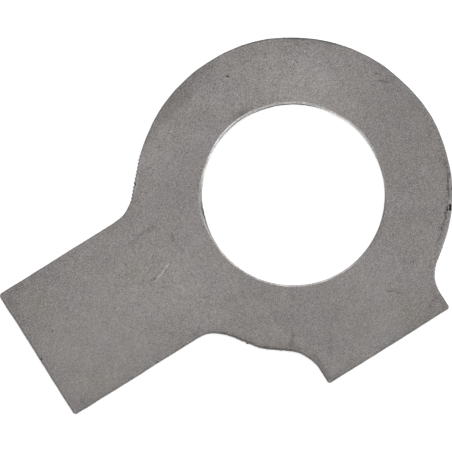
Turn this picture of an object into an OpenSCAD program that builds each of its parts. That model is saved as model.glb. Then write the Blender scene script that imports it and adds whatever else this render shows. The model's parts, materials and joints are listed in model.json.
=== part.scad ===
// Tab lock washer: a flat ring blanked from sheet steel with two tabs at a right angle.
// The long tab is bent down over an edge of the machine part, and the short tab up against a flat of the nut.
// Seen from above, the washer lies on its underside, with the bore's axis along Z through the origin.
// The long tab points along +X and the short tab along +Y.

/* [Ring] */
// Diameter of the ring's rim
ring_d = 44; // [40:0.5:46]
// Diameter of the bore that the bolt passes through
bore_d = 25.4; // [17:0.1:30]
// Thickness of the sheet
thickness = 1; // [0.8:0.05:2]

/* [Long tab] */
// Width of the long tab
long_width = 19.8; // [14:0.2:21]
// Reach of the long tab, from the bore's axis to its free end
long_reach = 42; // [32:0.1:60]
// Radius in the root on the side away from the short tab
outer_root_r = 7.5; // [3:0.5:10]
// Radius in the root on the side that faces the short tab
inner_root_r = 5; // [3:0.5:7]
// Depth of the flat that the blanking tool leaves on the rim beside the inner root
root_flat_depth = 0.35; // [0.1:0.05:0.5]

/* [Short tab] */
// Width of the short tab
short_width = 19.8; // [14:0.2:21]
// Reach of the short tab, from the bore's axis to its free end
short_reach = 24.9; // [24.5:0.1:40]
// Radius in both roots of the short tab
short_root_r = 5; // [2:0.5:6.5]

/* [Corners and cut edges] */
// Rounding of the tabs' free corners
corner_r = 0.55; // [0.45:0.05:2]
// How far the rolled-over edge of the upper face reaches in from the outline
roll_width = 0.3; // [0.2:0.05:0.4]
// How far the rolled-over edge drops at the outline
roll_depth = 0.18; // [0.1:0.02:0.3]
// How far the rolled-over edge reaches round the bore
bore_roll_width = 0.26; // [0.12:0.02:0.3]
// How far the rolled-over edge drops at the bore
bore_roll_depth = 0.2; // [0.06:0.02:0.24]
// Height of the torn zone of every cut edge, above the underside
break_height = 0.35; // [0.2:0.05:0.45]
// How far the torn zone leans back from the clean-cut band above it
break_lean = 0.06; // [0.02:0.01:0.1]

/* [Hidden] */
$fn = 144;
ring_r = ring_d / 2;
bore_r = bore_d / 2;
// The arc of a rolled-over edge has its centre this many roll widths in from the edge
roll_centre_in = 1.2;
// Neighbouring curves cross by this much instead of only touching
cross_over = 0.015;
// A cutter stands clear of the sheet by this much
clear = 1;
// The tabs start this share of the way from the bore to the rim
tab_start_share = 0.35;
tab_start = bore_r + tab_start_share * (ring_r - bore_r);
// The slab of a root reaches in from the rim and from the tab's edge by this share of the same way
root_overlap_share = 0.45;
root_overlap = root_overlap_share * (ring_r - bore_r);

// Gap above a rolled-over edge, in a section where the sheet lies left of x = edge.
// The edge is an arc from the upper face, a width in, to the cut face, a depth down.
module roll_gap(edge, width, depth) {
    in = roll_centre_in * width;
    down = (depth ^ 2 + 2 * in * width - width ^ 2) / (2 * depth);
    difference() {
        translate([edge - width, thickness - depth - (in - width) / 2])
            square([width + clear, depth + clear]);
        translate([edge - in, thickness - down])
            circle(norm([in - width, down]));
    }
}

// Gap beside a whole cut edge, from x = edge out to x = far: rolled over above, upright, and torn below
module edge_gap(edge, far, width, depth) {
    lean_below = break_lean * (break_height + clear) / break_height;
    polygon([
        [edge, break_height],
        [edge, thickness + clear],
        [far, thickness + clear],
        [far, -clear],
        [edge - lean_below, -clear],
    ]);
    roll_gap(edge, width, depth);
}

// Section of the sheet from x = start to a cut edge at x = edge
module edge_section(start, edge) {
    difference() {
        translate([start, 0])
            square([edge - start, thickness]);
        edge_gap(edge, edge + clear, roll_width, roll_depth);
    }
}

// Round ring with its bore
module round_ring() {
    rotate_extrude()
        difference() {
            edge_section(bore_r, ring_r);
            mirror([1, 0])
                edge_gap(-bore_r, clear - bore_r, bore_roll_width, bore_roll_depth);
        }
}

// Round cutter: all that lies inside a hollow cut edge of this radius
module round_gap(radius) {
    rotate_extrude()
        mirror([1, 0])
            edge_gap(-radius, 0, roll_width, roll_depth);
}

// Flat on the rim beside the long tab's inner root: it starts where the tab's edge would meet the rim.
// So wide a hollow can't be told from a flat.
flat_hollow_r = 200;
flat_reach = ring_r - root_flat_depth;
flat_angle = asin(long_width / 2 / ring_r) + acos(flat_reach / ring_r);
flat_centre = (flat_reach + flat_hollow_r) * [cos(flat_angle), sin(flat_angle)];

// Ring with the flat on its rim
module ring() {
    difference() {
        round_ring();
        translate(flat_centre)
            round_gap(flat_hollow_r);
    }
}

// Tab along +X: a strip with two cut edges, a cut end and two rounded corners
module tab(width, reach) {
    half = width / 2;
    straight = half - corner_r;
    translate([tab_start, 0, 0])
        rotate([90, 0, 90])
            linear_extrude(reach - corner_r - tab_start) {
                edge_section(0, half);
                mirror([1, 0])
                    edge_section(0, half);
            }
    rotate([90, 0, 0])
        linear_extrude(2 * straight, center = true)
            edge_section(tab_start, reach);
    for (side = [-1, 1])
        translate([reach - corner_r + cross_over, side * (straight + cross_over), 0])
            rotate_extrude()
                edge_section(0, corner_r);
}

// Root on the +Y side of a tab along +X: a slab that runs in under the rim and the tab, with its fillet cut
module root(centre, radius, rim_normal) {
    rim_point = centre - radius * rim_normal;
    edge_point = centre - [0, radius];
    difference() {
        linear_extrude(thickness)
            polygon([
                rim_point,
                edge_point,
                edge_point - [0, root_overlap],
                rim_point - root_overlap * rim_normal,
            ]);
        translate(centre)
            round_gap(radius + cross_over);
    }
}

// Root where a tab's edge meets the round rim
module rim_root(width, radius) {
    height = width / 2 + radius;
    centre = [sqrt((ring_r + radius) ^ 2 - height ^ 2), height];
    root(centre, radius, centre / norm(centre));
}

// Root where the long tab's edge meets the flat on the rim
module flat_root(width, radius) {
    height = width / 2 + radius;
    away = sqrt((flat_hollow_r - radius) ^ 2 - (flat_centre.y - height) ^ 2);
    centre = [flat_centre.x - away, height];
    root(centre, radius, (flat_centre - centre) / (flat_hollow_r - radius));
}

// The whole washer: the two tabs and their roots run into the ring
module tab_washer() {
    color("#8a8682") {
        ring();
        tab(long_width, long_reach);
        flat_root(long_width, inner_root_r);
        mirror([0, 1, 0])
            rim_root(long_width, outer_root_r);
        rotate([0, 0, 90]) {
            tab(short_width, short_reach);
            rim_root(short_width, short_root_r);
            mirror([0, 1, 0])
                rim_root(short_width, short_root_r);
        }
    }
}

tab_washer();
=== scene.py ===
"""Looks of the tab lock washer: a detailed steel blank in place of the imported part, on a pale floor."""

import json
import math

import bpy
from mathutils import Matrix, Vector, geometry, kdtree, noise


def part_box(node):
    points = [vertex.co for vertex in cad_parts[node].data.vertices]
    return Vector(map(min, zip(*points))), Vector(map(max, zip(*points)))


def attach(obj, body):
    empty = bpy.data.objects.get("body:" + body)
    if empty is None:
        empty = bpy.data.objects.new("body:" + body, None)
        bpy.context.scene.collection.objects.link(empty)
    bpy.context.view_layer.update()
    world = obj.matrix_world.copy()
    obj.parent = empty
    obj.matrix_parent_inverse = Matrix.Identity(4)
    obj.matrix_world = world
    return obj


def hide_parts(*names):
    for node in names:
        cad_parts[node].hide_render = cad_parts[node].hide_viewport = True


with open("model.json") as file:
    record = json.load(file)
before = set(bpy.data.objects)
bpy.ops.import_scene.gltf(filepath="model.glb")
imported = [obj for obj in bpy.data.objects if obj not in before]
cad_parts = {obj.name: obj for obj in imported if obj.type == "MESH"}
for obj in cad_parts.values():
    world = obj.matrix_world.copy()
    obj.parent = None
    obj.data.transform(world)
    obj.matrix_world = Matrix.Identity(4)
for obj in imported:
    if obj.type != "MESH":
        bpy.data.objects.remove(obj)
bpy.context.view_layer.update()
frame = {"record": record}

# Sizes in millimetres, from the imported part
MM = 0.001
low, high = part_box("tab_washer")
ring_r = -low.x / MM
long_reach = high.x / MM
short_reach = high.y / MM
thickness = high.z / MM
bore_mount = next(m for m in frame["record"]["mounts"] if m["name"] == "bore")
bore_r = bore_mount["dims"]["r_mm"]

# Sizes of the outline that the box doesn't give
tab_half = 9.9
long_corner_r = 0.45
short_corner_r = 0.36
outer_root_r = 7.5
inner_root_r = 5.0
short_root_r = 5.0
flat_depth = 0.35

# Cut edges: the rolled-over edge, the clean-cut band and the torn zone below it
roll_width = 0.34
roll_depth = 0.19
bore_roll_width = 0.26
bore_roll_depth = 0.2
break_height = 0.36
break_lean = 0.06
# The rim's torn zone shows this share of the torn colour, partly as painted shade at its foot
torn_rim = 0.25
# The first points of a section lie this far in from its roll, and the last ones this far in below
face_lead = 0.1
under_lead = 0.22
bore_under_lead = 0.25
# The burr along the foot of the rim: how proud it stands, how much more in places, and its height
burr_base = 0.03
burr_swell = 0.05
burr_length = 1.7
burr_layer = 9
burr_height = 0.05
# The lowest corner of an edge lies a little further in and shows this share of the edge's colours
foot_in = 0.04
foot_share = 0.6
bore_foot_in = 0.05
bore_lip_in = 0.01
bore_lip_height = 0.04
bore_wall_start = 0.05
bore_wall_soft = 0.06
# The torn zone of the bore bulges to its burr through these shares of its height
bore_torn_high = 0.6
bore_torn_low = 0.3
bore_torn_bulge = 0.4
# The bore's painted highlight starts this fast on its roll
bore_shine_power = 0.25

# Marks that reach an edge fade down its wall between these shares of the thickness
mark_full = 0.75
mark_foot = 0.25
# A mark fades out at this many half-widths, and its own points reach a little further
mark_soft = 1.6
mark_room = 1.7

# Spacing of the mesh's points
edge_step = 0.095
face_step = 0.5
# Within this reach of a border the points lie closer together, and stay clear of it by a margin
edge_reach = 0.9
face_margin = 0.18
# The normals of an edge ease into the next edge's over this many points
eased_points = 8
# Steps down a roll and down a torn zone
roll_steps = 10
torn_steps = 3
# Rows of a grid lie this share of its spacing apart
row_share = 0.866
# Points of a mark: how many to a half-width, and their margin to the border in half-widths
mark_points = 2.5
mark_margin = 0.3
# Other points stay clear of a mark by this share of their spacing
mark_clear = 0.15
# Points closer than this are joined
join_distance = 1e-7
# Edges sharper than this angle aren't smoothed
sharp_angle = 38

# Unevenness of the cut edges and marks: ripples with a strength, a length in millimetres and a layer
roll_width_ripples = [(0.3, 2.6, 1), (0.12, 0.5, 2)]
roll_depth_ripples = [(0.25, 3.4, 3)]
outline_ripples = [(0.03, 3.1, 45), (0.024, 1.3, 4), (0.014, 0.36, 5)]
rough_ripples = [(0.12, 0.6, 10)]
pitch_ripples = [(0.1, 1.1, 6)]
roll_shade_ripples = [(0.5, 1.9, 11), (0.3, 0.45, 12)]
band_ripples = [(0.2, 1.1, 7), (0.14, 0.3, 8)]
torn_ripples = [(0.03, 0.22, 13), (0.02, 0.6, 20)]
bore_width_ripples = [(0.2, 2.2, 31)]
bore_depth_ripples = [(0.2, 2.8, 32)]
bore_ripples = [(0.01, 1.4, 33), (0.012, 0.4, 42)]
bore_band_ripples = [(0.25, 1.0, 34)]
bore_torn_ripples = [(0.012, 0.3, 35)]
bore_burr_ripples = [(0.4, 0.8, 38)]
shine_ripples = [(0.4, 2.4, 36), (0.3, 0.7, 37), (0.3, 0.3, 39)]
crease_ripples = [(0.4, 0.9, 40)]
mark_ripples = [(0.4, 0.5, 41)]
# Layers are this far apart in the noise
layer_step = 7.3
layer_start = 0.37


def point(x, y):
    return Vector((x, y))


def turned(angle):
    """Unit vector at an angle in degrees."""
    return point(math.cos(math.radians(angle)), math.sin(math.radians(angle)))


def angle_of(v):
    return math.degrees(math.atan2(v.y, v.x))


def arc(centre, radius, start, end):
    """Points on an arc and the normals out of the steel. An arc that runs clockwise is hollow."""
    count = max(3, math.ceil(abs(math.radians(end - start)) * radius / edge_step))
    side = 1 if end > start else -1
    made = []
    for i in range(count):
        normal = turned(start + (end - start) * i / count)
        made.append((centre + radius * normal, side * normal))
    return made


def line(start, end):
    """Points on a straight edge with the steel on its left."""
    way = end - start
    count = max(2, math.ceil(way.length / edge_step))
    normal = point(way.y, -way.x).normalized()
    return [(start + way * (i / count), normal) for i in range(count)]


def eased(edge, last_normal):
    """An edge whose normals turn to the next edge's normal over its last points."""
    made = []
    for i, (p, normal) in enumerate(edge):
        share = max(0.0, 1 - (len(edge) - i) / eased_points)
        made.append((p, normal.lerp(last_normal, share).normalized()))
    return made


def rim_root(radius):
    """Centre of the root of a tab along +X, on its +Y side, against the round rim."""
    height = tab_half + radius
    return point(math.sqrt((ring_r + radius) ** 2 - height ** 2), height)


def tab_end(turn, reach, corner_r, root_x_start, root_x_end):
    """Edges of a tab that points along the angle turn, from its right root to its left root."""
    ahead = turned(turn)
    left = turned(turn + 90)
    inner = tab_half - corner_r
    far = reach - corner_r
    edges = line(root_x_start * ahead - tab_half * left, far * ahead - tab_half * left)
    edges += arc(far * ahead - inner * left, corner_r, turn - 90, turn)
    edges += line(reach * ahead - inner * left, reach * ahead + inner * left)
    edges += arc(far * ahead + inner * left, corner_r, turn, turn + 90)
    edges += line(far * ahead + tab_half * left, root_x_end * ahead + tab_half * left)
    return edges


def washer_outline():
    """The outline, anticlockwise from the long tab's outer root."""
    flat_reach = ring_r - flat_depth
    flat_half = math.degrees(math.acos(flat_reach / ring_r))
    flat_angle = math.degrees(math.asin(tab_half / ring_r)) + flat_half
    flat_normal = turned(flat_angle)
    outer = rim_root(outer_root_r)
    outer.y = -outer.y
    height = tab_half + inner_root_r
    inner = point((flat_reach + inner_root_r - height * flat_normal.y) / flat_normal.x, height)
    root = rim_root(short_root_r)
    short_right = point(root.y, root.x)
    short_left = point(-root.y, root.x)
    right_angle = angle_of(short_right)
    left_angle = angle_of(short_left)
    outer_angle = angle_of(outer)
    axis = point(0, 0)
    edges = arc(outer, outer_root_r, outer_angle + 180, 90)
    edges += tab_end(0, long_reach, long_corner_r, outer.x, inner.x)
    edges += arc(inner, inner_root_r, -90, flat_angle - 180)
    flat_end = turned(flat_angle + flat_half)
    edges += eased(line(inner - inner_root_r * flat_normal, ring_r * flat_end), flat_end)
    edges += arc(axis, ring_r, flat_angle + flat_half, right_angle)
    edges += arc(short_right, short_root_r, right_angle + 180, 180)
    edges += tab_end(90, short_reach, short_corner_r, root.x, root.x)
    edges += arc(short_left, short_root_r, 0, left_angle - 180)
    edges += arc(axis, ring_r, left_angle, outer_angle + 360)
    return edges


def unit(value):
    """A value kept between 0 and 1."""
    return max(0.0, min(1.0, value))


def smooth(share):
    """A share from 0 to 1 that starts and ends softly."""
    return share * share * (3 - 2 * share)


def wave(p, length, layer):
    """Smooth noise between about -1 and 1 over this length; each layer is another pattern."""
    return noise.noise(Vector((p.x / length, p.y / length, layer_step * layer + layer_start)))


def ripple(p, ripples, shift=0):
    """What ripples add up to at a point. A shift picks other layers."""
    return sum(strength * wave(p, length, layer + shift) for strength, length, layer in ripples)


def near(p, place, reach):
    """1 at a place, falling smoothly to 0 at this distance."""
    return smooth(max(0.0, 1 - (p - place).length / reach))


def along(p, start, end):
    """Distance from p to the stretch between two places."""
    run = end - start
    share = unit((p - start).dot(run) / run.length_squared)
    return (p - start - share * run).length


# Places are in millimetres. Serrated stretches of the rim: start, end and strength
serrations = [
    (point(15.4, -15.6), point(19.3, -11.5), 1.0),
    (point(-13.2, 17.5), point(-10.8, 19.6), 0.3),
]
serration_pitch = 0.54
serration_fade = 1.2
tooth_height = 0.11
tooth_root = 0.02
# The teeth carry painted shade as far in as this
dash_reach = 0.13
# Where the roll is wider, and where the rim is rough
wide_roll = 0.8
wide_roll_place = point(-18.0, 11.8)
wide_roll_reach = 7.5
rough_place = point(14.0, 16.6)
rough_reach = 9.0
# The roll is narrower at the tabs' free corners
corner_narrowing = 0.5
corner_reach = 1.6
corners = [
    point(long_reach, tab_half),
    point(long_reach, -tab_half),
    point(tab_half, short_reach),
    point(-tab_half, short_reach),
]
# Dips in the rim: place, reach and depth. Where the depth is negative, the rim stands proud.
rim_dips = [
    (point(12.6, 18.0), 5.5, 0.13),
    (point(12.8, 17.7), 1.5, 0.06),
    (point(-20.3, 7.5), 9.0, -0.06),
    (point(17.9, -12.9), 0.3, 0.1),
    (point(-17.4, 13.2), 0.4, 0.06),
    (point(-18.6, 11.8), 5.0, -0.15),
    (point(-19.1, 11.0), 0.3, 0.08),
    (point(42.0, 0.9), 0.2, 0.06),
    (point(18.2, -12.4), 2.4, -0.2),
    (point(21.6, -10.3), 1.8, 0.14),
    (point(-21.9, 1.7), 6.0, -0.1),
    (point(-6.0, -21.1), 7.5, -0.1),
    (point(12.0, -18.5), 3.0, 0.06),
    (point(-16.0, 15.1), 3.5, -0.06),
    (point(-21.0, -6.2), 2.5, 0.05),
    (point(42.0, -7.9), 3.0, -0.08),
    (point(41.2, 9.9), 2.0, 0.05),
    (point(20.2, 10.3), 1.6, 0.08),
    (point(17.8, 12.3), 1.8, 0.07),
    (point(14.0, 16.9), 2.2, 0.1),
    (point(10.4, 20.5), 2.2, -0.08),
    (point(0.0, 24.9), 13.0, -0.04),
]
# Burrs at the rim's foot: place, reach and how proud
rim_burrs = [
    (point(16.5, 14.1), 0.3, 0.13),
    (point(15.4, 15.4), 0.25, 0.08),
    (point(14.6, 16.3), 0.35, 0.09),
    (point(13.7, 16.9), 0.4, 0.1),
    (point(12.9, 17.6), 0.25, 0.1),
    (point(11.6, 18.6), 0.3, 0.06),
]
# Dips in the bore's edge, as on the rim
bore_dips = [
    (point(11.7, -5.2), 0.3, 0.09),
    (point(12.0, -4.3), 0.25, 0.07),
    (point(-6.8, -10.8), 8.0, 0.04),
    (point(11.6, -5.2), 7.0, -0.08),
    (point(11.0, -6.4), 2.5, 0.08),
    (point(6.4, 11.0), 7.0, -0.05),
    (point(-12.6, 1.2), 5.0, -0.07),
    (point(-11.0, -6.4), 2.0, -0.1),
]

# Stretches of the rim's roll with painted shade, darker where the roll faces away from the light: place,
# reach and how much
rim_shade_base = 0.02
rim_shade_places = [
    (point(14.5, 16.5), 9.0, 0.3),
    (point(9.9, 23.0), 4.0, 0.3),
    (point(-14.6, -16.5), 8.0, 0.7),
    (point(-8.0, -20.5), 8.0, 0.7),
    (point(0.0, 24.9), 8.0, 0.15),
    (point(-18.5, 11.7), 1.6, 0.5),
]
# Stretches of the rim's roll with more or less painted highlight: place, reach and how much
rim_shine = 0.14
rim_shines = [
    (point(-18.0, 12.4), 6.5, 0.14),
    (point(-14.0, 16.6), 4.0, 0.12),
    (point(17.0, -14.0), 5.0, 0.3),
    (point(12.2, -18.3), 6.0, 0.06),
    (point(42.0, 0.0), 10.0, 0.05),
    (point(33.0, 9.9), 9.0, 0.03),
    (point(-20.9, 6.8), 5.0, -0.1),
    (point(-11.0, -19.0), 9.0, -0.04),
]


def spots(p, base, places):
    """A base value with what the places near p add to it."""
    return base + sum(much * near(p, place, reach) for place, reach, much in places)


def rim_section(p, run):
    """Section of the rim, this far along it: for each point its inset, height, share of painted shade on
    the roll, and share of the fracture zone's dark colour, which also carries painted shade on the teeth
    and at the foot.
    """
    tight = max(near(p, corner, corner_reach) for corner in corners)
    narrowed = 1 - corner_narrowing * tight
    width = roll_width * (1 + ripple(p, roll_width_ripples)) * narrowed
    width *= 1 + wide_roll * near(p, wide_roll_place, wide_roll_reach)
    depth = roll_depth * (1 + ripple(p, roll_depth_ripples))
    teeth = 0.0
    for start, end, strength in serrations:
        share = max(0.0, 1 - along(p, start, end) / serration_fade)
        teeth = max(teeth, strength * smooth(share))
    turns = (run + ripple(p, pitch_ripples)) / serration_pitch
    saw = (0.5 + 0.5 * math.cos(2 * math.pi * turns)) ** 2
    dash = teeth * saw
    step_out = ripple(p, outline_ripples) - spots(p, 0.0, rim_dips)
    step_out += ripple(p, rough_ripples) * near(p, rough_place, rough_reach)
    step_out += teeth * (tooth_height * saw - tooth_root)
    # Painted shade on the roll, stronger where it faces away from the light
    roll_shade = unit(spots(p, rim_shade_base, rim_shade_places) * (1 + ripple(p, roll_shade_ripples)))
    band_end = break_height * (1 + ripple(p, band_ripples))
    burr = burr_base + burr_swell * max(0.0, wave(p, burr_length, burr_layer))
    burr = spots(p, burr, rim_burrs)
    section = [(width + face_lead * narrowed, thickness, 0.0, 0.0)]
    for i in range(roll_steps + 1):
        a = math.pi / 2 * i / roll_steps
        inset = width * (1 - math.sin(a))
        height = thickness - depth * (1 - math.cos(a))
        dashed = dash * unit(2 - inset / dash_reach)
        section.append((inset, height, roll_shade * math.sqrt(math.sin(a)), dashed))
    wall_top = thickness - depth
    section.append((0.0, 0.5 * (wall_top + band_end), roll_shade, dash))
    section.append((0.0, band_end, roll_shade, max(torn_rim, dash)))
    for i in range(1, torn_steps + 1):
        share = i / (torn_steps + 1)
        inset = break_lean * share + ripple(p, torn_ripples, i)
        section.append((inset, band_end * (1 - share), roll_shade, torn_rim))
    section.append((break_lean - burr, burr_height, roll_shade, torn_rim))
    section.append((break_lean + foot_in, 0.0, foot_share * roll_shade, foot_share * torn_rim))
    section.append((break_lean + under_lead, 0.0, 0.0, 0.0))
    return [(inset - step_out, z, painted_light, torn) for inset, z, painted_light, torn in section]


# Stretches of the bore's edge with more or less painted highlight, that are wider, with the painted shade
# of a crease, with a painted dark reflection on the wall, or burred: place, reach and how much
bore_shine = 0.62
bore_shines = [
    (point(-7.4, 10.3), 11.0, -0.8),
    (point(2.0, -12.5), 7.5, 0.8),
    (point(-11.0, -6.3), 9.0, 0.25),
    (point(11.6, -5.2), 8.0, -0.42),
    (point(-12.3, 3.2), 2.5, -0.35),
]
wide_bore = [
    (point(2.0, -12.5), 6.0, 0.5),
    (point(-11.0, -6.4), 4.0, -0.25),
    (point(11.6, -5.2), 7.0, 1.2),
]
bore_crease_shades = [
    (point(0.8, -12.7), 8.0, 0.9),
    (point(-6.8, -10.8), 6.0, 0.6),
    (point(12.0, -4.1), 4.5, 0.8),
]
dark_wall_reflections = [
    (point(-6.8, -10.8), 6.5, 1.0),
    (point(-2.6, -12.4), 4.0, 0.9),
]
bore_burrs = [
    (point(-6.8, -10.8), 7.0, 0.07),
    (point(-3.2, -12.3), 3.5, 0.04),
]
# The painted shade of the crease lies at this angle down the roll, and lower near one place
crease_middle = 55
crease_half = 15
crease_shift = 28
crease_shift_place = point(-5.0, -11.7)
crease_shift_reach = 6.0


def bore_section(p):
    """Section of the bore's edge: a roll and an upright wall with a painted highlight, the painted shade
    of a crease and painted dark reflections, and a dark fracture zone at its foot, partly painted shade.
    """
    width = bore_roll_width * (1 + ripple(p, bore_width_ripples)) * spots(p, 1.0, wide_bore)
    depth = bore_roll_depth * (1 + ripple(p, bore_depth_ripples))
    step_out = ripple(p, bore_ripples) - spots(p, 0.0, bore_dips)
    # Painted highlight, painted crease shade and painted dark reflection on the wall
    shine = unit(spots(p, bore_shine, bore_shines) * (1 + ripple(p, shine_ripples)))
    crease = spots(p, 0.0, bore_crease_shades) * (1 + ripple(p, crease_ripples))
    middle = crease_middle + crease_shift * near(p, crease_shift_place, crease_shift_reach)
    dark_wall = min(1.0, spots(p, 0.0, dark_wall_reflections))
    band_end = break_height * (1 + ripple(p, bore_band_ripples))
    burr = spots(p, 0.0, bore_burrs) * (1 + ripple(p, bore_burr_ripples))
    section = [(width + face_lead, thickness, 0.0, 0.0)]
    for i in range(roll_steps + 1):
        a = math.pi / 2 * i / roll_steps
        inset = width * (1 - math.sin(a))
        height = thickness - depth * (1 - math.cos(a))
        creased = crease * unit(2 - 2 * abs(math.degrees(a) - middle) / crease_half)
        section.append((inset, height, shine * math.sin(a) ** bore_shine_power, creased))
    section.append((0.0, thickness - depth - bore_wall_start, shine, dark_wall))
    section.append((0.0, band_end + bore_wall_soft, shine, dark_wall))
    section.append((0.0, band_end, shine, 1.0))
    section.append((ripple(p, bore_torn_ripples), bore_torn_high * band_end, 0.0, 1.0))
    section.append((-bore_torn_bulge * burr, bore_torn_low * band_end, 0.0, 1.0))
    section.append((bore_lip_in - burr, bore_lip_height, 0.0, 1.0))
    section.append((bore_foot_in, 0.0, 0.0, foot_share))
    section.append((bore_under_lead, 0.0, 0.0, 0.0))
    return [(inset - step_out, z, painted_light, torn) for inset, z, painted_light, torn in section]


def stroke(places, half, depth, much):
    """Marks from place to place: two ends in millimetres, half-width, depth and darkness."""
    return [(start, end, half, depth, much) for start, end in zip(places, places[1:])]


# Marks on the upper face: dots and specks, and painted shade in small nicks of the edges
face_marks = stroke([point(-1.0, -18.9), point(-1.1, -18.8)], 0.1, 0.03, 1.1)
face_marks += stroke([point(22.6, -0.3), point(22.5, -0.2)], 0.1, 0.03, 0.55)
face_marks += stroke([point(23.0, -0.3), point(23.1, -0.3)], 0.1, 0.02, 0.2)
face_marks += stroke([point(23.5, 0.0), point(23.6, 0.0)], 0.1, 0.02, 0.2)
face_marks += stroke([point(24.1, -0.9), point(24.2, -0.9)], 0.1, 0.02, 0.3)
face_marks += stroke([point(38.4, -1.7), point(38.5, -1.6)], 0.1, 0.02, 0.5)
face_marks += stroke([point(-9.1, 16.7), point(-9.1, 16.8)], 0.1, 0.02, 0.42)
face_marks += stroke([point(41.7, 0.8), point(41.9, 0.9)], 0.1, 0.03, 0.8)
face_marks += stroke([point(32.5, 9.8), point(32.6, 9.8)], 0.09, 0.01, 0.4)
face_marks += stroke([point(28.5, 9.7), point(28.4, 9.7)], 0.09, 0.01, 0.35)
face_marks += stroke([point(17.8, -12.9), point(17.9, -12.8)], 0.12, 0.02, 0.8)
face_marks += stroke([point(18.5, 11.3), point(18.4, 11.5)], 0.1, 0.02, 0.7)
face_marks += stroke([point(14.8, 15.9), point(14.7, 16.0)], 0.1, 0.02, 0.6)
face_marks += stroke([point(13.7, 16.8), point(13.6, 16.8)], 0.1, 0.02, 0.5)
face_marks += stroke([point(-18.7, -8.1), point(-18.8, -8.1)], 0.12, 0.02, 0.35)
face_marks += stroke([point(-12.4, 13.9), point(-12.0, 14.0)], 0.09, 0.01, 0.3)
face_marks += stroke([point(11.7, -5.3), point(11.8, -5.1)], 0.09, 0.02, 0.7)
face_marks += stroke([point(11.9, -4.5), point(12.0, -4.3)], 0.09, 0.02, 0.7)
# Fine lines
face_marks += stroke([point(-3.8, 18.4), point(-4.6, 18.9)], 0.08, 0.015, 0.45)
face_marks += stroke([point(-4.6, 18.9), point(-5.3, 19.8)], 0.08, 0.01, 0.2)
face_marks += stroke([point(-18.6, -7.1), point(-19.5, -6.2)], 0.13, 0.01, 0.27)
# The groove along the ring's edge and its black nick, dark with painted shade, and loose bits
face_marks += stroke([point(-20.3, 7.2), point(-19.8, 8.7)], 0.07, 0.02, 0.35)
face_marks += stroke([point(-19.8, 8.7), point(-19.2, 9.8), point(-18.1, 11.8)], 0.07, 0.03, 0.6)
face_marks += stroke([point(-18.1, 11.8), point(-16.7, 13.3), point(-15.3, 14.8)], 0.07, 0.03, 0.38)
face_marks += stroke([point(-19.7, 9.3), point(-19.6, 9.6)], 0.1, 0.02, 0.35)
face_marks += stroke([point(-15.4, 14.5), point(-15.3, 14.6)], 0.1, 0.02, 0.35)
face_marks += stroke([point(-15.3, 14.8), point(-14.0, 15.9), point(-12.8, 16.7)], 0.09, 0.02, 0.2)
face_marks += stroke([point(-17.6, 12.9), point(-17.3, 13.4)], 0.14, 0.05, 1.6)
face_marks += stroke([point(-17.2, 12.8), point(-16.9, 13.3)], 0.09, 0.03, 0.9)
face_marks += stroke([point(-19.2, 10.8), point(-19.0, 11.2)], 0.08, 0.02, 0.65)
face_marks += stroke([point(-18.5, 10.7), point(-18.5, 10.9)], 0.09, 0.02, 0.5)
face_marks += stroke([point(-19.9, 9.0), point(-19.9, 9.2)], 0.1, 0.02, 0.6)
face_marks += stroke([point(-20.1, 8.2), point(-20.1, 8.4)], 0.1, 0.02, 0.5)
face_marks += stroke([point(-16.4, 13.4), point(-16.4, 13.5)], 0.12, 0.02, 0.5)
face_marks += stroke([point(-16.2, 14.0), point(-16.1, 14.2)], 0.1, 0.02, 0.6)
face_marks += stroke([point(-14.9, 14.9), point(-14.8, 15.1)], 0.1, 0.02, 0.7)
face_marks += stroke([point(-19.2, 9.9), point(-19.1, 10.0)], 0.12, 0.02, 0.6)
# Soft smudges, and painted shade along the ring's edge between the tabs and along the short tab's inner
# side
smudges_and_shade = stroke([point(22.7, -6.0), point(21.2, -6.5), point(18.9, -6.5)], 0.3, 0.0, 0.17)
smudges_and_shade += stroke([point(17.3, -4.1), point(17.5, -3.4)], 0.24, 0.0, 0.22)
smudges_and_shade += stroke([point(21.0, -6.5), point(19.4, -6.6)], 0.2, 0.0, 0.24)
smudges_and_shade += stroke([point(1.0, -13.4), point(-0.6, -13.3)], 0.2, 0.0, 0.3)
smudges_and_shade += stroke([point(1.0, -13.5), point(-1.2, -13.5)], 0.42, 0.0, 0.16)
smudges_and_shade += stroke([point(10.4, 16.6), point(11.7, 17.7)], 0.16, 0.0, 0.28)
smudges_and_shade += stroke([point(11.2, 17.4), point(11.8, 18.0)], 0.35, 0.0, 0.22)
smudges_and_shade += stroke([point(41.3, -8.6), point(40.6, -7.4)], 0.35, 0.0, 0.12)
smudges_and_shade += stroke([point(40.0, 9.4), point(40.1, 8.6)], 0.24, 0.0, 0.2)
smudges_and_shade += stroke([point(-9.0, 22.8), point(-7.8, 23.2)], 0.3, 0.0, 0.16)
smudges_and_shade += stroke([point(-9.5, 23.9), point(-9.4, 24.4)], 0.3, 0.0, 0.2)
smudges_and_shade += stroke([point(9.3, 24.5), point(8.2, 24.6)], 0.25, 0.0, 0.16)
smudges_and_shade += stroke([point(6.5, 19.9), point(7.5, 21.2)], 0.25, 0.0, 0.17)
smudges_and_shade += stroke([point(18.6, 11.0), point(16.6, 13.7), point(14.9, 15.7)], 0.22, 0.0, 0.17)
smudges_and_shade += stroke([point(14.9, 15.7), point(13.0, 17.3), point(10.8, 18.6)], 0.22, 0.0, 0.15)
smudges_and_shade += stroke([point(9.5, 20.6), point(9.5, 24.2)], 0.28, 0.0, 0.22)
smudges_and_shade += stroke([point(-5.2, 12.1), point(-7.4, 10.9), point(-9.0, 9.7)], 0.3, 0.0, 0.09)
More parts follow.
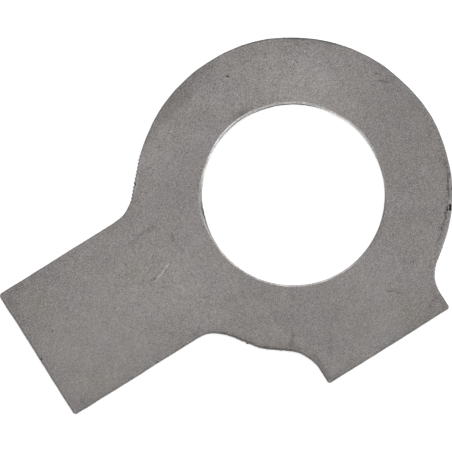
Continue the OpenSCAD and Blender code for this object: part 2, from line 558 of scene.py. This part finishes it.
# Bright marks: the scratch on the long tab, and bare bits beside the black nick and at the tab's edge
bright_marks = stroke([point(22.4, 0.0), point(19.8, -1.0)], 0.055, 0.015, 0.55)
bright_marks += stroke([point(-17.9, 12.3), point(-17.7, 12.5)], 0.08, 0.01, 0.35)
bright_marks += stroke([point(-17.4, 12.9), point(-17.2, 13.1)], 0.06, 0.01, 0.25)
bright_marks += stroke([point(29.0, 9.7), point(28.9, 9.8)], 0.07, 0.01, 0.4)
dark_marks = face_marks + smudges_and_shade

# Broad faint clouds: place, size and how much lighter or darker
clouds = [
    (point(-9.8, -12.4), 5.0, 0.16),
    (point(-4.3, -15.0), 4.5, 0.07),
    (point(-20.3, -3.1), 6.0, -0.13),
    (point(9.0, -20.5), 3.5, -0.04),
    (point(2.0, -22.2), 3.5, -0.07),
    (point(-12.7, -6.7), 4.0, 0.06),
    (point(-14.3, -15.9), 4.0, -0.05),
    (point(-3.1, 17.6), 3.5, 0.06),
    (point(20.5, 2.2), 6.0, 0.12),
    (point(32.4, 1.1), 7.0, 0.07),
    (point(39.2, -8.9), 6.0, -0.09),
    (point(-6.2, 24.3), 4.5, -0.08),
    (point(8.1, 15.9), 4.5, -0.05),
    (point(-17.5, 9.0), 7.0, -0.09),
    (point(12.2, -14.6), 4.0, 0.06),
    (point(10.5, -16.3), 1.8, 0.04),
    (point(6.5, -17.3), 1.8, 0.05),
    (point(3.5, -18.4), 1.8, 0.06),
    (point(14.6, -15.3), 1.5, 0.07),
    (point(40.5, 8.9), 1.5, -0.06),
    (point(24.5, 7.5), 2.0, -0.06),
    (point(-3.3, -13.3), 1.5, -0.07),
    (point(-16.6, 8.8), 2.0, 0.06),
    (point(-21.0, -0.2), 1.5, -0.06),
    (point(-11.5, -12.1), 2.5, 0.04),
    (point(12.7, -9.0), 2.0, -0.06),
    (point(-10.0, -18.0), 4.0, -0.04),
    (point(12.4, -7.8), 3.0, -0.06),
    (point(9.9, -12.5), 2.0, -0.04),
]

# Where the sheet's grain is stronger or fainter: place, size and how much
grain_clouds = [
    (point(-8.9, -15.0), 6.0, 0.3),
    (point(1.2, -14.7), 4.0, 0.12),
    (point(20.7, -0.5), 5.0, 0.16),
    (point(10.5, -16.3), 2.0, 0.15),
    (point(3.5, -18.4), 2.0, 0.2),
    (point(8.0, -20.0), 2.5, -0.3),
    (point(36.1, 7.0), 9.0, -0.25),
    (point(7.0, 18.0), 8.0, -0.2),
    (point(-20.0, -1.3), 4.0, -0.25),
    (point(-4.3, 23.4), 5.0, -0.15),
]


def cloud_sum(p, places):
    """What soft round clouds add up to at a point."""
    return sum(much * math.exp(-((p - place).length / size) ** 2) for place, size, much in places)


def mark_share(p, start, end, half):
    """1 in the middle of a mark, falling to 0 where it fades out."""
    return max(0.0, 1 - (along(p, start, end) / (mark_soft * half)) ** 2)


def face_values(p):
    """Drop, darkness and brightness of the upper face at a point."""
    drop = 0.0
    dark = 0.0
    bright = 0.0
    uneven = 1 + ripple(p, mark_ripples)
    for start, end, half, depth, much in dark_marks:
        share = mark_share(p, start, end, half)
        drop = max(drop, depth * share * share)
        dark = max(dark, much * share * uneven)
    for start, end, half, depth, much in bright_marks:
        share = mark_share(p, start, end, half)
        drop = max(drop, depth * share * share)
        dark *= 1 - share
        bright = max(bright, much * share)
    return drop, dark, bright


def grid_points(spacing, low_corner, high_corner):
    """Staggered grid of points in a box."""
    row_step = row_share * spacing
    rows = math.ceil((high_corner.y - low_corner.y) / row_step)
    columns = math.ceil((high_corner.x - low_corner.x) / spacing)
    made = []
    for row in range(rows + 1):
        for column in range(columns + 1):
            x = low_corner.x + spacing * (column + 0.5 * (row % 2))
            made.append(point(x, low_corner.y + row_step * row))
    return made


class Border:
    """The edges of a flat face, with normals that point out of the steel."""

    def __init__(self, edge_points):
        self.edge_points = edge_points
        self.tree = kdtree.KDTree(len(edge_points))
        for i, (p, normal) in enumerate(edge_points):
            self.tree.insert((p.x, p.y, 0), i)
        self.tree.balance()

    def depth(self, p):
        """Distance from p to the nearest edge."""
        return self.tree.find((p.x, p.y, 0))[2]

    def holds(self, p, margin):
        """Whether p lies in the steel, further than a margin from its edges."""
        found = self.tree.find((p.x, p.y, 0))
        nearest, normal = self.edge_points[found[1]]
        return (p - nearest).dot(normal) < 0 and found[2] > margin


def inner_points(border, spacing, marks):
    """Points inside a face, closer together round its marks and clear of its border."""
    wanted = []
    for start, end, half in marks:
        reach = mark_room * half
        corner = point(min(start.x, end.x) - reach, min(start.y, end.y) - reach)
        opposite = point(max(start.x, end.x) + reach, max(start.y, end.y) + reach)
        for p in grid_points(half / mark_points, corner, opposite):
            if along(p, start, end) < reach:
                wanted.append((p, mark_margin * half))
    corner = point(-ring_r, -ring_r)
    opposite = point(long_reach, short_reach)
    plain = [(p, edge_reach) for p in grid_points(spacing, corner, opposite)]
    for p in grid_points(spacing / 2, corner, opposite):
        if border.depth(p) < edge_reach:
            plain.append((p, face_margin))
    gap = mark_clear * spacing
    for p, margin in plain:
        if all(along(p, start, end) > mark_room * half + gap for start, end, half in marks):
            wanted.append((p, margin))
    return [p for p, margin in wanted if border.holds(p, margin)]


# The rim's painted highlight reaches in this many roll widths
shine_reach = 1.5


def highlight_share(inset):
    """1 at the rim, falling to 0 where its painted highlight ends."""
    return max(0.0, 1 - inset / (shine_reach * roll_width))


def steel_triangles(flat, edges):
    """Triangles between flat points, on the left of the border edges and as far as the next border."""
    made = geometry.delaunay_2d_cdt(flat, edges, [], 0, join_distance, True)
    first = [sources[0] for sources in made[3]]
    walls = set()
    for (a, b), sources in zip(made[1], made[4]):
        if sources:
            walls.add((first[a], first[b]))
            walls.add((first[b], first[a]))
    triangles = [[first[corner] for corner in triangle] for triangle in made[2]]
    owner = {}
    for t, (a, b, c) in enumerate(triangles):
        owner[a, b] = t
        owner[b, c] = t
        owner[c, a] = t
    waiting = [owner[edge] for edge in edges if edge in owner]
    kept = set(waiting)
    while waiting:
        a, b, c = triangles[waiting.pop()]
        for edge in ((b, a), (c, b), (a, c)):
            t = owner.get(edge)
            if t is not None and edge not in walls and t not in kept:
                kept.add(t)
                waiting.append(t)
    return [triangles[t] for t in sorted(kept)]


class Shell:
    """Collects the washer's points, faces and painted values."""

    def __init__(self):
        self.points = []
        self.faces = []
        self.values = []

    def add(self, p, z, **values):
        """Adds a point with its painted values, and returns its number."""
        values["tone"] = cloud_sum(p, clouds)
        values["grain"] = cloud_sum(p, grain_clouds)
        self.points.append((p.x * MM, p.y * MM, z * MM))
        self.values.append(values)
        return len(self.points) - 1

    def sweep(self, path, sections, kind):
        """Joins the sections along a closed path, and returns the upper and the lower border."""
        rings = []
        for (p, normal), section in zip(path, sections):
            ring = []
            for inset, z, painted_light, torn in section:
                q = p - inset * normal
                drop, dark, bright = face_values(q)
                shown = unit((z / thickness - mark_foot) / (mark_full - mark_foot))
                dark *= shown
                bright *= shown
                edge = 0.0
                if kind == "rim":
                    # The rim's roll gets a painted highlight where no dark mark lies
                    bare = max(0.0, 1 - dark)
                    bright += bare * highlight_share(inset) * spots(p, rim_shine, rim_shines)
                    edge = 1.0
                paint = {"torn": torn, "dark": dark, "bright": bright, "edge": edge, kind: painted_light}
                ring.append(self.add(q, z, **paint))
            rings.append(ring)
        for here, ahead in zip(rings, rings[1:] + rings[:1]):
            for k in range(len(here) - 1):
                self.faces.append((here[k], here[k + 1], ahead[k + 1], ahead[k]))
        upper = [(ring[0], normal) for ring, (p, normal) in zip(rings, path)]
        lower = [(ring[-1], normal) for ring, (p, normal) in zip(rings, path)]
        return upper, lower

    def place(self, index):
        x, y, z = self.points[index]
        return point(x / MM, y / MM)

    def add_inner(self, p, z, facing_up, rim):
        """Adds a point of a flat face, with the drop and the paint of its marks."""
        drop, dark, bright = face_values(p) if facing_up else (0.0, 0.0, 0.0)
        edge = max(0.0, 1 - rim.depth(p) / edge_reach)
        return self.add(p, z - drop, dark=dark, bright=bright, edge=edge)

    def fill(self, borders, z, spacing, marks, facing_up):
        """Fills a flat face between its borders with triangles."""
        indices = []
        edges = []
        edge_points = []
        for loop in borders:
            first = len(indices)
            count = len(loop)
            for i, (index, normal) in enumerate(loop):
                indices.append(index)
                edge_points.append((self.place(index), normal))
                edges.append((first + i, first + (i + 1) % count))
        rim = Border(edge_points[: len(borders[0])])
        flat = [p for p, normal in edge_points]
        flat += inner_points(Border(edge_points), spacing, marks)
        known = dict(enumerate(indices))
        for triangle in steel_triangles(flat, edges):
            for i in triangle:
                if i not in known:
                    known[i] = self.add_inner(flat[i], z, facing_up, rim)
            face = [known[i] for i in triangle]
            self.faces.append(face if facing_up else face[::-1])


def runs(path):
    """Distance along a path to each of its points."""
    places = [p for p, normal in path]
    made = [0.0]
    for p, q in zip(places, places[1:]):
        made.append(made[-1] + (q - p).length)
    return made


def build_washer():
    shell = Shell()
    outline = washer_outline()
    bore = arc(point(0, 0), bore_r, 360, 0)
    rim_sections = [rim_section(p, run) for (p, normal), run in zip(outline, runs(outline))]
    bore_sections = [bore_section(p) for p, normal in bore]
    rim_top, rim_under = shell.sweep(outline, rim_sections, "rim")
    bore_top, bore_under = shell.sweep(bore, bore_sections, "bore")
    marks = [(start, end, half) for start, end, half, depth, much in dark_marks + bright_marks]
    shell.fill([rim_top, bore_top], thickness, face_step, marks, True)
    shell.fill([rim_under, bore_under], 0.0, 2 * face_step, [], False)
    mesh = bpy.data.meshes.new("washer")
    mesh.from_pydata(shell.points, [], shell.faces)
    mesh.validate()
    for name in ("rim", "bore", "torn", "dark", "bright", "tone", "grain", "edge"):
        layer = mesh.attributes.new(name, "FLOAT", "POINT")
        layer.data.foreach_set("value", [values.get(name, 0.0) for values in shell.values])
    mesh.polygons.foreach_set("use_smooth", [True] * len(mesh.polygons))
    mesh.set_sharp_from_angle(angle=math.radians(sharp_angle))
    washer = bpy.data.objects.new("washer", mesh)
    bpy.context.scene.collection.objects.link(washer)
    return washer


class Nodes:
    """Short ways to add and join shader nodes."""

    def __init__(self, tree):
        self.tree = tree

    def add(self, kind, **settings):
        node = self.tree.nodes.new(kind)
        for key, value in settings.items():
            setattr(node, key, value)
        return node

    def put(self, socket, value):
        if isinstance(value, bpy.types.NodeSocket):
            self.tree.links.new(value, socket)
        else:
            socket.default_value = value

    def math(self, operation, a, b=0.0, c=0.0, clamp=False):
        node = self.add("ShaderNodeMath", operation=operation, use_clamp=clamp)
        for socket, value in zip(node.inputs, (a, b, c)):
            self.put(socket, value)
        return node.outputs[0]

    def mix(self, share, a, b, blend="MIX"):
        node = self.add("ShaderNodeMix", data_type="RGBA", blend_type=blend)
        self.put(node.inputs["Factor"], share)
        self.put(node.inputs[6], a)
        self.put(node.inputs[7], b)
        return node.outputs[2]

    def painted(self, name):
        return self.add("ShaderNodeAttribute", attribute_name=name).outputs["Fac"]

    def noise(self, place, size, detail=1.0):
        """Noise about a mean of 0 whose features are about this many millimetres across."""
        node = self.add("ShaderNodeTexNoise")
        self.put(node.inputs["Vector"], place)
        self.put(node.inputs["Scale"], 1 / (size * MM))
        self.put(node.inputs["Detail"], detail)
        return self.math("SUBTRACT", node.outputs["Fac"], 0.5)

    def ramp(self, place, start, direction, length):
        """0 before a line in the sheet and 1 a length in millimetres beyond it, in a direction."""
        node = self.add("ShaderNodeVectorMath", operation="DOT_PRODUCT")
        self.put(node.inputs[0], place)
        self.put(node.inputs[1], (direction.x, direction.y, 0.0))
        gain = 1 / (length * MM)
        before = -start.dot(direction) / length
        return self.math("MULTIPLY_ADD", node.outputs["Value"], gain, before, clamp=True)

    def cells(self, place, size):
        """A random value for each cell of about this many millimetres."""
        node = self.add("ShaderNodeTexVoronoi", feature="F1")
        self.put(node.inputs["Vector"], place)
        self.put(node.inputs["Scale"], 1 / (size * MM))
        split = self.add("ShaderNodeSeparateColor")
        self.put(split.inputs[0], node.outputs["Color"])
        return split.outputs[0]


# The darker strip at the ring's edge ends at a line between two places and fades out along it
strip_start = point(12.3, -17.3)
strip_end = point(1.0, -20.1)
strip_soft = 0.7
strip_fade = 6.0
strip_dark = 0.15

# Texture of the sheet: sizes in millimetres, and how strongly each kind shows
grain_size = 0.075
grain_strength = 0.82
fine_size = 0.11
fine_strength = 0.15
# This share of the small cells shows brighter steel
bare_size = 0.13
bare_cells = 0.1
bare_strength = 0.2
mottle_size = 2.2
mottle_strength = 0.2
patch_size = 9.0
patch_detail = 2.0
patch_strength = 0.1
hue_size = 5.0
hue_strength = 0.15
edge_shade = 0.08
mark_and_shade_spread = 1.2
rough_middle = 0.55
rough_spread = 0.3
bore_polish = 0.25
torn_roughness = 0.2
bump_strength = 0.35
bump_depth = 0.01
bump_grain = 0.5

steel_color = (0.259, 0.244, 0.237, 1)
# Painted shade on the rim's roll
rim_shade_color = (0.095, 0.091, 0.089, 1)
# Torn zone colour, also used for painted shade at the feet of the edges, on the teeth and in the bore's
# crease, and for painted dark reflections on the bore's wall
torn_color = (0.06, 0.056, 0.053, 1)
# Painted highlight on the bore's roll and wall
bore_highlight_color = (0.8, 0.79, 0.78, 1)
# Dark marks and smudges, also used for painted shade in nicks, in the groove and along edges
mark_and_shade_color = (0.022, 0.016, 0.015, 1)
# Colour of scratches and bright bits, also used for the painted highlight on the rim's roll
scratch_and_highlight_color = (0.62, 0.61, 0.60, 1)


def steel_material():
    material = bpy.data.materials.new("rolled_steel")
    material.use_nodes = True
    tree = material.node_tree
    tree.nodes.clear()
    n = Nodes(tree)
    place = n.add("ShaderNodeTexCoord").outputs["Object"]
    grain = n.math("SUBTRACT", n.cells(place, grain_size), 0.5)
    grain = n.math("MULTIPLY", grain, n.math("ADD", n.painted("grain"), 1.0))
    fine = n.noise(place, fine_size)
    gain = 1 / bare_cells
    bare = n.math("MULTIPLY_ADD", n.cells(place, bare_size), gain, 1 - gain, clamp=True)
    light = n.math("MULTIPLY_ADD", grain, grain_strength, 1.0)
    light = n.math("MULTIPLY_ADD", fine, fine_strength, light)
    light = n.math("MULTIPLY_ADD", bare, bare_strength, light)
    light = n.math("MULTIPLY_ADD", n.noise(place, mottle_size), mottle_strength, light)
    light = n.math("MULTIPLY_ADD", n.noise(place, patch_size, patch_detail), patch_strength, light)
    light = n.math("MULTIPLY_ADD", n.painted("edge"), -edge_shade, light)
    light = n.math("ADD", light, n.painted("tone"))
    ahead = (strip_end - strip_start).normalized()
    outward = point(-ahead.y, ahead.x)
    strip = n.ramp(place, strip_start - 0.5 * strip_soft * outward, outward, strip_soft)
    faded = n.ramp(place, strip_end + 0.5 * strip_fade * ahead, -ahead, strip_fade)
    light = n.math("MULTIPLY_ADD", n.math("MULTIPLY", strip, faded), -strip_dark, light)
    # Painted shade on the rim's roll
    color = n.mix(n.painted("rim"), steel_color, rim_shade_color)
    # Painted highlight on the bore's edge
    color = n.mix(n.painted("bore"), color, bore_highlight_color)
    # Torn zone, with painted shade at the feet, on the teeth and in the bore's crease, and painted dark
    # reflections on the bore's wall
    color = n.mix(n.painted("torn"), color, torn_color)
    # Dark marks and smudges, and painted shade in nicks, in the groove and along edges
    spread = n.math("MULTIPLY_ADD", fine, mark_and_shade_spread, 1.0)
    dark = n.math("MULTIPLY", n.painted("dark"), spread, clamp=True)
    color = n.mix(dark, color, mark_and_shade_color)
    # Scratches and bright bits, and the painted highlight on the rim's roll
    color = n.mix(n.painted("bright"), color, scratch_and_highlight_color)
    hue = n.noise(place, hue_size)
    grey = n.add("ShaderNodeCombineColor")
    n.put(grey.inputs[0], light)
    n.put(grey.inputs[1], light)
    n.put(grey.inputs[2], n.math("MULTIPLY_ADD", hue, hue_strength, light))
    color = n.mix(1.0, color, grey.outputs[0], "MULTIPLY")
    rough = n.math("MULTIPLY_ADD", fine, rough_spread, rough_middle)
    rough = n.math("MULTIPLY_ADD", n.painted("bore"), -bore_polish, rough)
    rough = n.math("MULTIPLY_ADD", n.painted("torn"), torn_roughness, rough, clamp=True)
    bump = n.add("ShaderNodeBump")
    n.put(bump.inputs["Strength"], bump_strength)
    n.put(bump.inputs["Distance"], bump_depth * MM)
    n.put(bump.inputs["Height"], n.math("MULTIPLY_ADD", grain, bump_grain, fine))
    shader = n.add("ShaderNodeBsdfPrincipled")
    n.put(shader.inputs["Base Color"], color)
    n.put(shader.inputs["Metallic"], 1.0)
    n.put(shader.inputs["Roughness"], rough)
    n.put(shader.inputs["Normal"], bump.outputs[0])
    output = n.add("ShaderNodeOutputMaterial")
    n.put(output.inputs["Surface"], shader.outputs[0])
    return material


floor_color = (0.8, 0.8, 0.8, 1)
floor_lift = 0.6
# Half the floor's side in metres, and how far it lies under the washer in millimetres
floor_half = 1.5
floor_gap = 0.01


def floor_material():
    """Pale floor that is seen as white, by the camera and in the steel, but keeps its shadows."""
    material = bpy.data.materials.new("studio_floor")
    material.use_nodes = True
    tree = material.node_tree
    tree.nodes.clear()
    n = Nodes(tree)
    path = n.add("ShaderNodeLightPath")
    seen = n.math("MAXIMUM", path.outputs["Is Camera Ray"], path.outputs["Is Glossy Ray"])
    seen = n.math("MAXIMUM", seen, path.outputs["Is Transmission Ray"])
    matt = n.add("ShaderNodeBsdfDiffuse")
    n.put(matt.inputs["Color"], floor_color)
    glow = n.add("ShaderNodeEmission")
    n.put(glow.inputs["Strength"], n.math("MULTIPLY", seen, floor_lift))
    both = n.add("ShaderNodeAddShader")
    n.put(both.inputs[0], matt.outputs[0])
    n.put(both.inputs[1], glow.outputs[0])
    output = n.add("ShaderNodeOutputMaterial")
    n.put(output.inputs["Surface"], both.outputs[0])
    return material


def build_floor():
    z = -floor_gap * MM
    signs = [(-1, -1), (1, -1), (1, 1), (-1, 1)]
    floor_corners = [(x * floor_half, y * floor_half, z) for x, y in signs]
    mesh = bpy.data.meshes.new("floor")
    mesh.from_pydata(floor_corners, [], [(0, 1, 2, 3)])
    mesh.materials.append(floor_material())
    floor = bpy.data.objects.new("floor", mesh)
    bpy.context.scene.collection.objects.link(floor)


# The photograph's view: distance in millimetres, lean and its direction in degrees, turn of the part,
# scale, side of the image, and the pixel of the bore's axis
view_distance = 700.0
view_lean = 6.1
lean_direction = 90.0
part_turn = 212.18
pixels_per_mm = 7.202
image_size = 452
axis_pixel = (293.36, 194.19)
sensor_width = 36
clip_start = 0.01


def build_camera():
    right = turned(-part_turn).to_3d()
    up = turned(90 - part_turn).to_3d()
    toward = turned(lean_direction)
    away = toward.x * right + toward.y * up
    across = toward.x * up - toward.y * right
    lean = math.radians(view_lean)
    above = Vector((0, 0, 1))
    leaning = math.cos(lean) * away + math.sin(lean) * above
    ahead = math.sin(lean) * away - math.cos(lean) * above
    camera_right = toward.x * leaning - toward.y * across
    camera_up = toward.y * leaning + toward.x * across
    aside = (axis_pixel[0] - image_size / 2) / pixels_per_mm
    raised = (image_size / 2 - axis_pixel[1]) / pixels_per_mm
    centre = Vector((0, 0, thickness))
    spot = centre - aside * camera_right - raised * camera_up - view_distance * ahead
    data = bpy.data.cameras.new("camera")
    data.sensor_width = sensor_width
    data.lens = pixels_per_mm * view_distance * sensor_width / image_size
    data.clip_start = clip_start
    camera = bpy.data.objects.new("camera", data)
    basis = Matrix((camera_right, camera_up, -ahead)).transposed().to_4x4()
    camera.matrix_world = Matrix.Translation(spot * MM) @ basis
    bpy.context.scene.collection.objects.link(camera)
    bpy.context.scene.camera = camera
    return camera_right, camera_up


# Lamps: place in metres across, up the image and above the floor, side in metres and power in watts
softbox_place = (0.0, 0.2, 0.6)
softbox_size = 0.6
softbox_power = 1.42
side_place = (0.6, 0.0, 0.25)
side_size = 0.4
side_power = 1.2
world_strength = 0.52


def add_lamp(name, spot, size, energy):
    """A square soft lamp that faces the washer."""
    data = bpy.data.lights.new(name, "AREA")
    data.shape = "SQUARE"
    data.size = size
    data.energy = energy
    lamp = bpy.data.objects.new(name, data)
    lamp.location = spot
    lamp.rotation_euler = (-spot).to_track_quat("-Z", "Y").to_euler()
    bpy.context.scene.collection.objects.link(lamp)


def build_lights(camera_right, camera_up):
    axes = Matrix((camera_right, camera_up, Vector((0, 0, 1)))).transposed()
    add_lamp("softbox", axes @ Vector(softbox_place), softbox_size, softbox_power)
    add_lamp("side_light", axes @ Vector(side_place), side_size, side_power)
    world = bpy.data.worlds.new("studio")
    world.use_nodes = True
    background = world.node_tree.nodes["Background"]
    background.inputs["Color"].default_value = (1, 1, 1, 1)
    background.inputs["Strength"].default_value = world_strength
    bpy.context.scene.world = world


washer = build_washer()
washer.data.materials.append(steel_material())
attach(washer, "root")
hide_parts("tab_washer")
build_floor()
camera_right, camera_up = build_camera()
build_lights(camera_right, camera_up)
bpy.context.scene.view_settings.view_transform = "Standard"
